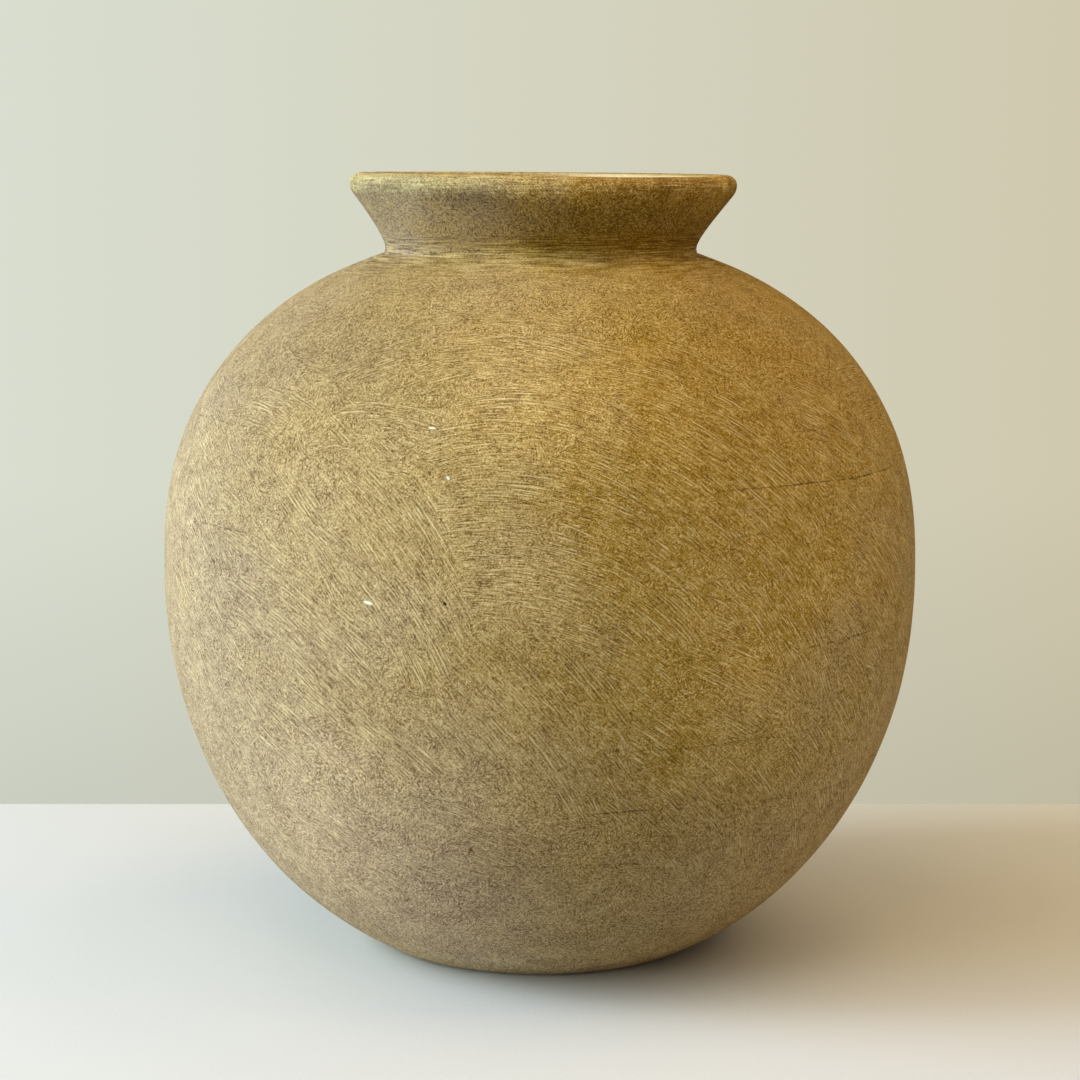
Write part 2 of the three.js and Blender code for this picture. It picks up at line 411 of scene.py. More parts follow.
def workByHand(points):
    azimuth = np.degrees(np.arctan2(points[:, 0], -points[:, 1]))
    radius, height = np.hypot(points[:, 0], points[:, 1]), points[:, 2].copy()
    onBody = height < neckHeight - handWork["belowNeck"]
    # depth is 1 at the outer face and 0 at the inner one
    inwards, skin = wallRadius(height) - radius, handWork["skin"]
    depth = np.clip(1 - (inwards - skin) / (form["wall"] - 2 * skin), 0, 1) * onBody
    shift, cut = np.zeros_like(height), np.zeros_like(height)
    nearest, show = np.full_like(height, 1.0), np.zeros_like(height)
    for name, seam in zip(ringNames[:-1], seams[1:-1]):
        away = np.abs(height - seam)
        seen = showing(azimuth, hairlines[name]["shows"] + hiddenHairlines(name))
        shift += driftOf(azimuth, name) * (1 - ramp(away, 0, groove["reach"]))
        onSeam = (away < groove["onSeam"]) & (depth > groove["outerShare"])
        cut = np.where(onSeam, groove["least"] + groove["depth"] * seen, cut)
        show = np.where(away < nearest, seen, show)
        nearest = np.minimum(away, nearest)
    moved = height + shift * depth
    radius = radius + (wallRadius(moved) - wallRadius(height)) * onBody * depth - cut
    smeared = form["neckSlip"] * np.exp(-((height - neckHeight) / form["smear"]) ** 2)
    radius = radius + np.where(radius > form["neckRadius"] - handWork["skin"], smeared, 0)
    turn = np.radians(azimuth)
    raised = ramp(height, handWork["leanFrom"], handWork["leanTo"])
    x, y = radius * np.sin(turn), -radius * np.cos(turn)
    sag = np.exp(-(around(azimuth, handWork["sagAt"]) / handWork["sagSpread"]) ** 2)
    sag = handWork["sag"] * sag * ramp(height, handWork["sagFrom"], lipTop)
    x = x + handWork["lean"] * raised
    z = moved - raised * handWork["tilt"] * x - sag
    return np.stack([x, y, z], 1), nearest, show


# Sweeps of the brush that show on the front. at: azimuth and height, lean: degrees downwards to the right,
# bend: radius of the wrist's arc, reach: half the length and half the width of the sweep, all in mm.
# firm: over 1 the sweep hides what is under it, under 1 the brush was nearly dry.
frontSweeps = [
    {"at": (4, 236), "lean": 15, "bend": 110, "firm": 1.06, "reach": (50, 20)},
    {"at": (6, 210), "lean": 20, "bend": 100, "firm": 1.06, "reach": (48, 22)},
    {"at": (6.5, 178), "lean": 21, "bend": 100, "firm": 1.08, "reach": (48, 24)},
    {"at": (9, 150), "lean": 25, "bend": 105, "firm": 1.06, "reach": (44, 22)},
    {"at": (34, 216), "lean": 40, "bend": 200, "firm": 1.06, "reach": (60, 24)},
    {"at": (34, 174), "lean": 46, "bend": 260, "firm": 1.06, "reach": (62, 26)},
    {"at": (32, 130), "lean": 30, "bend": 200, "firm": 1.06, "reach": (60, 26)},
    {"at": (57, 192), "lean": 40, "bend": 200, "firm": 1.06, "reach": (60, 28)},
    {"at": (55, 144), "lean": 42, "bend": 200, "firm": 1.06, "reach": (60, 28)},
    {"at": (46, 98), "lean": 44, "bend": 200, "firm": 1.0, "reach": (56, 26)},
    {"at": (18, 92), "lean": 42, "bend": 180, "firm": 1.0, "reach": (46, 24)},
    {"at": (1, 118), "lean": 52, "bend": 180, "firm": 1.06, "reach": (36, 24)},
    {"at": (-20, 214), "lean": 12, "bend": 110, "firm": 0.95, "reach": (30, 18)},
    {"at": (-23, 192), "lean": 44, "bend": 110, "firm": 1.04, "reach": (36, 20)},
    {"at": (-21, 166), "lean": 50, "bend": 130, "firm": 1.06, "reach": (36, 22)},
    {"at": (-17, 138), "lean": 44, "bend": 160, "firm": 1.04, "reach": (38, 22)},
    {"at": (-40, 188), "lean": 38, "bend": 120, "firm": 0.98, "reach": (40, 22)},
    {"at": (-38, 150), "lean": 30, "bend": 120, "firm": 1.02, "reach": (42, 22)},
    {"at": (-32, 116), "lean": 36, "bend": 160, "firm": 0.95, "reach": (50, 26)},
    {"at": (-57, 112), "lean": 34, "bend": 160, "firm": 0.95, "reach": (50, 26)},
    {"at": (-62, 158), "lean": 40, "bend": 160, "firm": 0.98, "reach": (50, 26)},
    {"at": (-62, 200), "lean": 28, "bend": 150, "firm": 0.95, "reach": (50, 26)},
    {"at": (-42, 222), "lean": 20, "bend": 150, "firm": 0.9, "reach": (44, 24)},
    {"at": (-14, 250), "lean": -4, "bend": 160, "firm": 0.95, "reach": (46, 14)},
    {"at": (-18, 74), "lean": 20, "bend": 200, "firm": 0.88, "reach": (50, 22)},
    {"at": (-48, 68), "lean": 32, "bend": 200, "firm": 0.88, "reach": (48, 26)},
    {"at": (44, 64), "lean": 60, "bend": 200, "firm": 0.88, "reach": (36, 22)},
]
# The rest of the jar was brushed with the same swing of the wrist, from a share of the belly's height up
# to a share of the neck's, and clear of the front by this many degrees.
otherSweeps = {"count": 110, "seed": 17, "golden": 137.508, "stray": (-6, 6), "from": 0.16, "to": 0.94,
               "clear": 72, "lean": (18, 66), "bend": (90, 220), "length": (44, 70), "width": (18, 28),
               "firm": (0.86, 1.08)}
layers = 3
# A sweep fades over the outer part of its reach, and is thin where it meets its neighbour.
sweepEdge = {"grown": 1.35, "border": 0.1, "fade": 0.2, "neckGap": 5 * mm, "apart": 7.0}


def allSweeps():
    dice = random.Random(otherSweeps["seed"])
    sweeps = [dict(sweep, layer=i % layers) for i, sweep in enumerate(frontSweeps)]
    low, high = form["bellyHeight"] * otherSweeps["from"], neckHeight * otherSweeps["to"]
    for i in range(otherSweeps["count"]):
        height = low + (high - low) * ((i + 0.5) / otherSweeps["count"])
        azimuth = around(i * otherSweeps["golden"] + dice.uniform(*otherSweeps["stray"]), 0)
        sweep = {"at": (azimuth, height / mm), "layer": dice.randrange(layers)}
        sweep["lean"] = dice.uniform(*otherSweeps["lean"])
        sweep["bend"] = dice.uniform(*otherSweeps["bend"])
        sweep["reach"] = (dice.uniform(*otherSweeps["length"]), dice.uniform(*otherSweeps["width"]))
        sweep["firm"] = dice.uniform(*otherSweeps["firm"])
        if abs(azimuth) > otherSweeps["clear"]:
            sweeps.append(sweep)
    return sweeps


def sweepFrame(sweep):
    # where the sweep is on the wall, the way its strokes run, and the way across them
    azimuth, height = math.radians(sweep["at"][0]), sweep["at"][1] * mm
    radius = float(wallRadius(height))
    slope = float(wallRadius(height + mm) - wallRadius(height - mm)) / (2 * mm)
    place = np.array([radius * math.sin(azimuth), -radius * math.cos(azimuth), height])
    right = np.array([math.cos(azimuth), math.sin(azimuth), 0])
    up = np.array([slope * math.sin(azimuth), -slope * math.cos(azimuth), 1])
    up = up / np.linalg.norm(up)
    lean = math.radians(sweep["lean"])
    forward = right * math.cos(lean) - up * math.sin(lean)
    return place, forward, right * math.sin(lean) + up * math.cos(lean)


brushSweeps = allSweeps()


def brushed(points):
    # for each layer: how far along and across its sweep a point is, which sweep, and how well it shows
    results = []
    for layer in range(layers):
        best, second = np.zeros(len(points)), np.zeros(len(points))
        run, firm = np.zeros((len(points), 3)), np.zeros(len(points))
        for number, sweep in enumerate(brushSweeps):
            if sweep["layer"] != layer:
                continue
            place, forward, across = sweepFrame(sweep)
            away = (points - place) / mm
            bend = sweep["bend"]
            a, b = away @ forward, away @ across + bend
            along, side = bend * np.arctan2(a, b), np.hypot(a, b) - bend
            length, width = sweep["reach"]
            near = np.clip(1 - np.hypot(along / length, side / width) / sweepEdge["grown"], 0, 1)
            near *= np.linalg.norm(away, axis=1) < 2 * length
            better = near > best
            second = np.where(better, best, np.maximum(second, near))
            which = np.full(len(points), number * sweepEdge["apart"])
            run[better] = np.stack([along, side, which], 1)[better]
            firm[better] = sweep["firm"]
            best = np.maximum(best, near)
        bare = ramp(points[:, 2], neckHeight - sweepEdge["neckGap"], neckHeight)
        shown = ramp(best - second, 0, sweepEdge["border"]) * ramp(best, 0, sweepEdge["fade"])
        results.append((run, firm * shown * (1 - bare)))
    return results


# Broad tones that the fire and the hand left, and among them painted light and shade: the pale band round
# the front of the foot is painted light bounced up from the cloth, and the darker spot in the neck's
# crease
# at the front is painted shade. at: azimuth and height, reach: in degrees and mm, change: share of
# lightness.
tonesAndPaintedLight = [
    {"at": (-44, 238), "reach": (30, 34), "change": -0.26},
    {"at": (-42, 222), "reach": (12, 18), "change": 0.12},
    {"at": (4, 226), "reach": (20, 27), "change": 0.28},
    {"at": (-4, 203), "reach": (8, 13), "change": -0.06},
    {"at": (38, 196), "reach": (26, 40), "change": 0.22},
    {"at": (60, 225), "reach": (20, 30), "change": 0.08},
    {"at": (24, 162), "reach": (10, 26), "change": 0.1},
    {"at": (31, 130), "reach": (11, 24), "change": 0.2},
    {"at": (45, 162), "reach": (13, 18), "change": 0.16},
    {"at": (2, 172), "reach": (9, 18), "change": 0.12},
    {"at": (19, 205), "reach": (5, 10), "change": 0.08},
    {"at": (-34, 98), "reach": (10, 18), "change": 0.12},
    {"at": (12, 200), "reach": (7, 20), "change": -0.1},
    {"at": (-5, 144), "reach": (8, 12), "change": -0.05},
    {"at": (21, 58), "reach": (32, 32), "change": -0.3},
    {"at": (-10, 50), "reach": (24, 28), "change": -0.14},
    {"at": (-40, 56), "reach": (20, 30), "change": 0.22},
    {"at": (-9, 110), "reach": (14, 18), "change": -0.07},
    {"at": (-50, 168), "reach": (10, 40), "change": -0.11},
    {"at": (-70, 180), "reach": (10, 60), "change": 0.06},
    {"at": (12, 98), "reach": (14, 22), "change": -0.16},
    {"at": (20, 98), "reach": (8, 16), "change": 0.06},
    # painted light: a pale band round the front of the foot, for light bounced up from the cloth
    {"at": (0, 0), "reach": (50, 10), "change": 0.42},
    {"at": (26, 6), "reach": (20, 10), "change": 0.3},
    {"at": (14, 28), "reach": (24, 13), "change": -0.15},
    {"at": (-18, 299), "reach": (13, 5), "change": -0.28},
    {"at": (2, 291), "reach": (20, 7), "change": -0.18},
    {"at": (20, 302), "reach": (20, 4), "change": 0.26},
    {"at": (5, 301.5), "reach": (10, 3), "change": 0.3},
    {"at": (-36, 303), "reach": (24, 3.5), "change": -0.14},
    {"at": (50, 298.5), "reach": (17, 4.5), "change": 0.3},
    {"at": (52, 277), "reach": (16, 6), "change": 0.26},
    # painted shade: darker in the crease of the neck at the front
    {"at": (4, 278), "reach": (13, 4), "change": -0.18},
    {"at": (35, 280), "reach": (16, 7), "change": 0.42},
    {"at": (-4, 276), "reach": (26, 4), "change": 0.34},
    {"at": (66, 298), "reach": (12, 12), "change": 0.4},
    {"at": (-60, 303), "reach": (24, 4), "change": -0.24},
]
otherTones = {"count": 14, "seed": 5, "azimuth": (105, 255), "from": 20, "reach": (18, 34),
              "height": (26, 50), "change": (-0.18, 0.18)}


def allTones():
    dice = random.Random(otherTones["seed"])
    tones = list(tonesAndPaintedLight)
    for i in range(otherTones["count"]):
        azimuth = dice.uniform(*otherTones["azimuth"])
        tone = {"at": (azimuth, dice.uniform(otherTones["from"], neckHeight / mm))}
        tone["change"] = dice.uniform(*otherTones["change"])
        tone["reach"] = (dice.uniform(*otherTones["reach"]), dice.uniform(*otherTones["height"]))
        tones.append(tone)
    return tones


# Where the kiln left the clay warmer or cooler than its side of the jar, and where light and shade are
# painted:
# a cooler patch low at the front is a painted reflection of the cloth, and a warmer one in the neck's
# crease
# colours the painted shade there. change: how far to the right the same hue would lie, in mm.
huesAndPaintedLight = [
    {"at": (-40, 226), "reach": (26, 50), "change": 34.0},
    {"at": (16, 195), "reach": (14, 35), "change": 14.0},
    # painted reflection: cooler low at the front, where the pale cloth reflects onto the belly
    {"at": (-20, 38), "reach": (32, 58), "change": -76.0},
    {"at": (50, 262), "reach": (50, 30), "change": -20.0},
    # painted shade: a warmer hue in the neck's crease, the colour of the shade there
    {"at": (5, 279), "reach": (16, 5), "change": 24.0},
    {"at": (24, 28), "reach": (16, 14), "change": -26.0},
    {"at": (75, 195), "reach": (24, 50), "change": -30.0},
    {"at": (165, 38), "reach": (80, 45), "change": -45.0},
]


def toned(points, tones):
    azimuth = np.degrees(np.arctan2(points[:, 0], -points[:, 1]))
    total = np.zeros(len(points))
    for tone in tones:
        across = around(azimuth, tone["at"][0]) / tone["reach"][0]
        upwards = (points[:, 2] / mm - tone["at"][1]) / tone["reach"][1]
        total += tone["change"] * np.exp(-across ** 2 - upwards ** 2)
    return total


# Chips and one dark pit. at: azimuth and height, reach: half the length and half the height in mm,
# kind: 1 for a pale chip and -1 for a dark pit.
marks = [
    {"at": (-23.9, 158.5), "reach": (1.9, 0.65), "lean": 12, "kind": 1},
    {"at": (-16.4, 219.6), "reach": (1.5, 0.45), "lean": 4, "kind": 1},
    {"at": (-13.1, 203.0), "reach": (0.9, 0.5), "lean": 50, "kind": 1},
    {"at": (-12.8, 159.6), "reach": (0.75, 0.5), "lean": 30, "kind": -1},
]
otherMarks = {"count": 9, "seed": 29, "azimuth": (90, 270), "height": (50, 240), "long": (0.8, 2.4),
              "high": (0.4, 0.9), "lean": (0, 60), "kinds": (1, 1, -1)}
markRoom = 12  # mm round a mark in which its own shape is stored


def allMarks():
    dice = random.Random(otherMarks["seed"])
    azimuths, heights = otherMarks["azimuth"], otherMarks["height"]
    places = [(dice.uniform(*azimuths), dice.uniform(*heights)) for i in range(otherMarks["count"])]
    others = []
    for place in places:
        mark = {"at": place}
        mark["reach"] = (dice.uniform(*otherMarks["long"]), dice.uniform(*otherMarks["high"]))
        mark["lean"], mark["kind"] = dice.uniform(*otherMarks["lean"]), dice.choice(otherMarks["kinds"])
        others.append(mark)
    return marks + others


def markedAt(points):
    # place inside the nearest mark, as a share of its reach, and which kind it is
    marked = np.zeros((len(points), 3))
    for mark in allMarks():
        place, forward, across = sweepFrame(mark)
        away = (points - place) / mm
        near = np.linalg.norm(away, axis=1) < markRoom
        along, side = away @ forward / mark["reach"][0], away @ across / mark["reach"][1]
        marked[near] = np.stack([along, side, np.full(len(away), mark["kind"])], 1)[near]
    return marked


def storeVectors(mesh, name, *columns):
    layer = mesh.attributes.new(name, "FLOAT_VECTOR", "POINT")
    layer.data.foreach_set("vector", np.stack(columns, 1).astype(np.float32).ravel())


def finishClay(piece, node):
    mesh = piece.data
    points = np.empty(len(mesh.vertices) * 3, np.float32)
    mesh.vertices.foreach_get("co", points)
    points, nearest, show = workByHand(points.reshape(-1, 3).astype(float))
    mesh.vertices.foreach_set("co", points.astype(np.float32).ravel())
    runs = brushed(points)
    for letter, (run, strength) in zip("ABC", runs):
        storeVectors(mesh, "sweep" + letter, *run.T)
    storeVectors(mesh, "sweepStrength", *[strength for run, strength in runs])
    storeVectors(mesh, "hairline", nearest / mm, show, np.zeros(len(points)))
    storeVectors(mesh, "mark", *markedAt(points).T)
    # the jar's tones of lightness and hue, with painted light and shade among them
    lightness = 1 + toned(points, allTones())
    storeVectors(mesh, "fired", lightness, toned(points, huesAndPaintedLight), np.zeros(len(points)))
    mesh.set_sharp_from_angle(angle=math.radians(detail["sharp"]))
    mesh.update()
    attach(piece, "root")
    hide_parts(node)


# Terracotta from a low firing, under a thin buff slip: dead matt, chalky, and combed by a coarse brush,
# so that light catches pale ridges between darker gaps; the gaps beside the hairs are also painted darker,
# as painted shade.
# It runs greyer on the left and golden on the right: partly the kiln's colour, and partly painted light,
# the cool window light on the left and the warm room light on the right.
slipLook = {
    "cool": "#ae977f", "body": "#b4975f", "warm": "#ae8b2f",
    "coolBody": (-115.0, -15.0), "bodyWarm": (-15.0, 38.0),
    "pale": "#e8d5a4", "dark": "#5d4520", "hair": "#f8e8b6", "joint": "#33260f", "chip": "#f4efdf",
    # bare: a painted highlight inside the far lip, where the window light falls
    "pit": "#2c2212", "bare": "#fff3cf", "patchSize": 38.0, "mottle": 9.5, "cluster": 15.0,
    "dab": 5.5, "dabLength": 1.9, "dabWidth": 0.42, "dabRag": 3.0, "ragSize": 5 / 3, "dabsApart": 90.0,
    "grain": 0.56, "grainCurl": 0.9, "grainShare": 0.54,
    "strokeLength": 6.5, "strokeWidth": 0.42, "hairLength": 14.0, "hairGap": 1.3,
    "roughness": 0.94, "sheen": 0.1, "relief": 0.2,
    # the grain's share of light and of dark: where each begins, where it is full, and how much at most
    "lit": (0.51, 0.6, 0.8), "shaded": (0.5, 0.415, 0.95), "mottleShare": 0.1,
    # hairs of light: where each kind of noise lets them show, and how much at most
    "hairLeft": (0.46, 0.6), "hairEdge": (0.5, 0.95), "clustered": (0.42, 0.6),
    "hairShade": 0.58, "gapShade": 0.5,
    # a dry brush lets the sweep below show
    "dry": (26.0, 9.0), "dryWeight": 3.0, "hairWeight": 0.8, "wetFrom": 1.75, "wetTo": 1.9,
    "sway": (30.0, 5.0), "swayTurns": 9.0,
    # the hue moves from left to right between these places, in mm, partly as painted light, and back on
    # the lower right
    "hueFrom": -115.0, "hueTo": 45.0, "underLean": -0.9, "under": (-45.0, 45.0, -70.0),
    "patchSwing": 115.0,
    "chipRag": 1.2, "chipEdge": (1.7, 1.3), "chipFrom": 0.9, "hairRelief": 0.12,
}
# The collar was dabbed with the brush's tip, so it is browner and only speckled, not combed.
collarLook = dict(
    slipLook, cool="#a39079", body="#967a4d", warm="#866405",
    coolBody=(-50.0, -8.0), bodyWarm=(-8.0, 14.0),
    pale="#ccb26f", dark="#47331b", hair="#dac795",
    dab=3.4, dabLength=1.7, dabWidth=0.36, grainShare=0.42,
)
# Hands have rubbed the lip, which leaves its slip paler, with level streaks.
rimLook = dict(
    collarLook, cool="#c2b285", body="#bfa66f", warm="#ab8841",
    pale="#ffedb4", dark="#6a4e25", hair="#fff4c6",
)
# The foot's slip is worn thin and dull by what the jar has stood on.
footLook = dict(slipLook, cool="#ad9678", body="#af9265", warm="#a3854f")


def dabStrokes(add, inMm, look):
    # small cells, each with short fibres that run its own way
    ragged = add(noise, None, {"Vector": inMm, "Scale": 1 / look["ragSize"], "Detail": 1.0}, "Color")
    jostle = add(vector, minus, {0: ragged, 1: (0.5, 0.5, 0.5)})
    jostle = add(vector, scale, {0: jostle, "Scale": look["dabRag"]})
    jostled = add(vector, plus, {0: inMm, 1: jostle})
    cell = {"Vector": jostled, "Scale": 1 / look["dab"], "Randomness": 1.0}
    cell = add("ShaderNodeTexVoronoi", None, cell, None)
    local = add(vector, minus, {0: inMm, 1: cell["Position"]})
    facing = add("ShaderNodeNewGeometry", output="Normal")
    spin = add(vector, minus, {0: cell["Color"], 1: (0.5, 0.5, 0.5)})
    lie = add(vector, unit, {0: add(vector, {"operation": "CROSS_PRODUCT"}, {0: facing, 1: spin})})
    along = add(vector, {"operation": "DOT_PRODUCT"}, {0: local, 1: lie}, "Value")
    longer = add(maths, times, {0: along, 1: 1 / look["dabLength"] - 1 / look["dabWidth"]})
    across = add(vector, scale, {0: local, "Scale": 1 / look["dabWidth"]})
    fibres = add(vector, plus, {0: across, 1: add(vector, scale, {0: lie, "Scale": longer})})
    apart = add(vector, scale, {0: cell["Color"], "Scale": look["dabsApart"]})
    fibres = add(vector, plus, {0: fibres, 1: apart})
    fibres = {"Vector": fibres, "Scale": 1.0, "Detail": 2.0, "Roughness": 0.75, "Distortion": 0.3}
    return add(noise, None, fibres)


def sweptStrokes(add, strokes, look):
    # sweeps of the brush lie over each other, and each lets the one below show through where it ran dry
    firm = add(stored, {"attribute_name": "sweepStrength"}, None, "Vector")
    firm = add(split, None, {0: firm}, None)
    hairs = 0.0
    for letter, axis in zip("ABC", "XYZ"):
        run = add(stored, {"attribute_name": "sweep" + letter}, None, "Vector")
        fine = add(vector, times, {0: run, 1: (1 / look["strokeLength"], 1 / look["strokeWidth"], 1.0)})
        fine = {"Vector": fine, "Scale": 1.0, "Detail": 2.0, "Roughness": 0.8, "Distortion": 0.3}
        fine = add(noise, None, fine)
        hair = add(vector, times, {0: run, 1: (1 / look["hairLength"], 1 / look["hairGap"], 1.3)})
        hair = add(noise, None, {"Vector": hair, "Scale": 1.0, "Detail": 1.0, "Roughness": 0.5})
        sway = add(vector, times, {0: run, 1: (1 / look["sway"][0], 1 / look["sway"][1], 1.9)})
        sway = add(noise, None, {"Vector": sway, "Scale": 1.0, "Detail": 2.0, "Roughness": 0.5})
        dry = add(vector, times, {0: run, 1: (1 / look["dry"][0], 1 / look["dry"][1], 1.7)})
        dry = add(noise, None, {"Vector": dry, "Scale": 1.0, "Detail": 2.0, "Roughness": 0.65})
        # the bristles comb the slip at an even spacing, and only some of them leave a hair of light
        comb = add(maths, times, {0: add(split, None, {0: run}, "Y"), 1: math.tau / look["hairGap"]})
        comb = add(maths, timesPlus, {0: sway, 1: look["swayTurns"], 2: comb})
        comb = add(maths, {"operation": "SINE"}, {0: comb})
        low, high = look["hairLeft"]
        left = add(spread, None, {"Value": hair, "From Min": low, "From Max": high})
        comb = add(maths, times, {0: comb, 1: left})
        wet = add(maths, times, {0: hair, 1: look["hairWeight"]})
        wet = add(maths, timesPlus, {0: dry, 1: look["dryWeight"], 2: wet})
        wet = add(maths, times, {0: firm[axis], 1: wet})
        shown = add(spread, None, {"Value": wet, "From Min": look["wetFrom"], "From Max": look["wetTo"]})
        strokes = add(mix, numbers, {"Factor": shown, "A": strokes, "B": fine}, "Result")
        hairs = add(mix, numbers, {"Factor": shown, "A": hairs, "B": comb}, "Result")
    return strokes, hairs


# The streaks of a wet finger drawn round the neck and the lip, in mm, from the neck up and the lip down.
fingerStreaks = {"length": 14.0, "width": 0.6, "above": 1.0, "fades": (10.0, 3.0), "onLip": (8.5, 5.0),
                 "lipShare": 0.45}


def levelStrokes(add, inMm):
    length, width = fingerStreaks["length"], fingerStreaks["width"]
    streaks = add(vector, times, {0: inMm, 1: (1 / length, 1 / length, 1 / width)})
    streaks = {"Vector": streaks, "Scale": 1.0, "Detail": 3.0, "Roughness": 0.7, "Distortion": 0.2}
    return add(noise, None, streaks)


def smoothedBands(add, height, hasLip):
    away = add(maths, minus, {0: height, 1: neckHeight / mm + fingerStreaks["above"]})
    far, close = fingerStreaks["fades"]
    bands = add(spread, None, {"Value": add(maths, size, {0: away}), "From Min": far, "From Max": close})
    if hasLip:
        low, high = [lipTop / mm - depth for depth in fingerStreaks["onLip"]]
        upper = {"Value": height, "From Min": low, "From Max": high, "To Max": fingerStreaks["lipShare"]}
        bands = add(maths, larger, {0: bands, 1: add(spread, None, upper)})
    return bands


# Rubbed pale along the lip, with a ragged lower edge and less of it on the right. In mm, from the
# coil's foot upwards.
rubbedLip = {"size": 6.0, "ragged": 20.0, "middle": 0.56, "from": -1.0, "to": 3.5,
             "right": 35.0, "left": -20.0, "rightShare": 0.8}
# The body's slip was smoothed up over the collar's foot, in mm from the neck.
lappedSlip = {"ragged": 10.0, "from": 4.5, "to": -0.5}


def lipShades(add, inMm, height, level, shades, lip):
    rag = add(vector, scale, {0: inMm, "Scale": 1 / rubbedLip["size"]})
    rag = add(noise, None, {"Vector": rag, "Scale": 1.0, "Detail": 4.0, "Roughness": 0.75})
    rag = add(maths, minus, {0: rag, 1: rubbedLip["middle"]})
    rag = add(maths, timesPlus, {0: rag, 1: rubbedLip["ragged"], 2: height})
    low, high = rimSeam / mm + rubbedLip["from"], rimSeam / mm + rubbedLip["to"]
    rubbed = add(spread, None, {"Value": rag, "From Min": low, "From Max": high})
    across = {"Value": add(split, None, {0: inMm}, "X"), "To Min": rubbedLip["rightShare"]}
    across.update({"From Min": rubbedLip["right"], "From Max": rubbedLip["left"]})
    rubbed = add(maths, times, {0: rubbed, 1: add(spread, None, across)})
    edge = add(maths, minus, {0: level, 1: 0.5})
    edge = add(maths, timesPlus, {0: edge, 1: lappedSlip["ragged"], 2: height})
    low, high = neckHeight / mm + lappedSlip["from"], neckHeight / mm + lappedSlip["to"]
    lapped = add(spread, None, {"Value": edge, "From Min": low, "From Max": high})
    for share, other in ((rubbed, lip), (lapped, slipLook)):
        for shade, value in shades.items():
            painted = {"Factor": share, "A": value, "B": colour(other[shade])}
            shades[shade] = add(mix, colours, painted, "Result")
    return shades


# Inside the far lip, on the right, where the window light falls, the slip is painted pale: a painted
# highlight. Radii, places and depths in mm.
paintedLipLight = {"radius": (71.5, 70.0), "right": (-5.0, 25.0), "down": (7.0, 4.0), "share": 0.7}


def innerLipHighlight(add, inMm):
    axes = add(split, None, {0: inMm}, None)
    outward = add(vector, times, {0: inMm, 1: (1, 1, 0)})
    radius = add(vector, {"operation": "LENGTH"}, {0: outward}, "Value")
    worn = paintedLipLight["share"]
    upper = [lipTop / mm - depth for depth in paintedLipLight["down"]]
    edges = ((radius, paintedLipLight["radius"]), (axes["X"], paintedLipLight["right"]), (axes["Z"], upper))
    for place, (low, high) in edges:
        near = add(spread, None, {"Value": place, "From Min": low, "From Max": high})
        worn = add(maths, times, {0: near, 1: worn})
    return worn


# The joints' hairlines, broken where slip filled them, in mm.
jointPaint = {"broken": 3.2, "brokenAt": (0.44, 0.56), "halfWidth": (0.34, 0.1), "share": 0.7}


def hairlineShare(add, inMm, line):
    broken = {"Vector": inMm, "Scale": 1 / jointPaint["broken"], "Detail": 3.0, "Roughness": 0.65}
    low, high = jointPaint["brokenAt"]
    broken = add(spread, None, {"Value": add(noise, None, broken), "From Min": low, "From Max": high})
    wide, narrow = jointPaint["halfWidth"]
    near = add(spread, None, {"Value": line["X"], "From Min": wide, "From Max": narrow})
    shown = add(maths, times, {0: near, 1: add(maths, times, {0: line["Y"], 1: broken})})
    return add(maths, times, {0: shown, 1: jointPaint["share"]})


